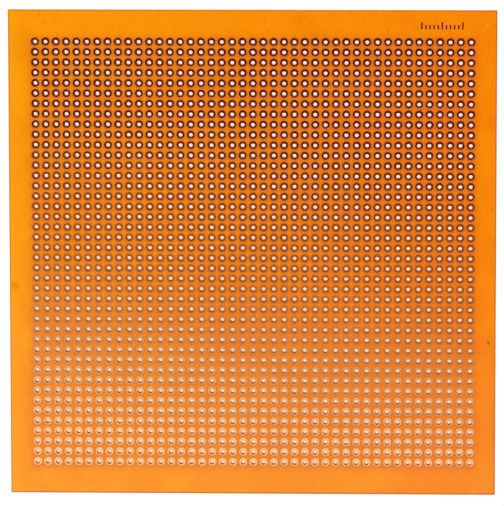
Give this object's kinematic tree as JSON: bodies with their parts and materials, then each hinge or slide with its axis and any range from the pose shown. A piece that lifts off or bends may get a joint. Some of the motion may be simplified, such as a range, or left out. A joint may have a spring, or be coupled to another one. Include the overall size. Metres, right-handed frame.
{
  "type": "prototype board",
  "caption": "Flat single-sided perforated prototype board: an orange phenolic sheet with a square grid of lead holes, each ringed by a bare copper pad.",
  "frame": {"origin": "centre of the underside of the sheet, on the surface that it rests on", "axes": "+Z out of the copper side, +X along a row of pads towards the last column, +Y towards the first row"},
  "size_m": [0.1196, 0.1198, 0.0016],
  "materials": {
    "laminate": "semi-gloss orange phenolic paper laminate",
    "copper": "bare copper foil under a thin clear rosin lacquer"
  },
  "bodies": {
    "root": {"laminate": "laminate", "pads_row_01": "copper", "pads_row_02": "copper", "pads_row_03": "copper", "pads_row_04": "copper", "pads_row_05": "copper", "pads_row_06": "copper", "pads_row_07": "copper", "pads_row_08": "copper", "pads_row_09": "copper", "pads_row_10": "copper", "pads_row_11": "copper", "pads_row_12": "copper", "pads_row_13": "copper", "pads_row_14": "copper", "pads_row_15": "copper", "pads_row_16": "copper", "pads_row_17": "copper", "pads_row_18": "copper", "pads_row_19": "copper", "pads_row_20": "copper", "pads_row_21": "copper", "pads_row_22": "copper", "pads_row_23": "copper", "pads_row_24": "copper", "pads_row_25": "copper", "pads_row_26": "copper", "pads_row_27": "copper", "pads_row_28": "copper", "pads_row_29": "copper", "pads_row_30": "copper", "pads_row_31": "copper", "pads_row_32": "copper", "pads_row_33": "copper", "pads_row_34": "copper", "pads_row_35": "copper", "pads_row_36": "copper", "pads_row_37": "copper", "pads_row_38": "copper", "pads_row_39": "copper", "pads_row_40": "copper", "pads_row_41": "copper", "pads_row_42": "copper", "etched_scale": "copper"}
  },
  "joints": []
}
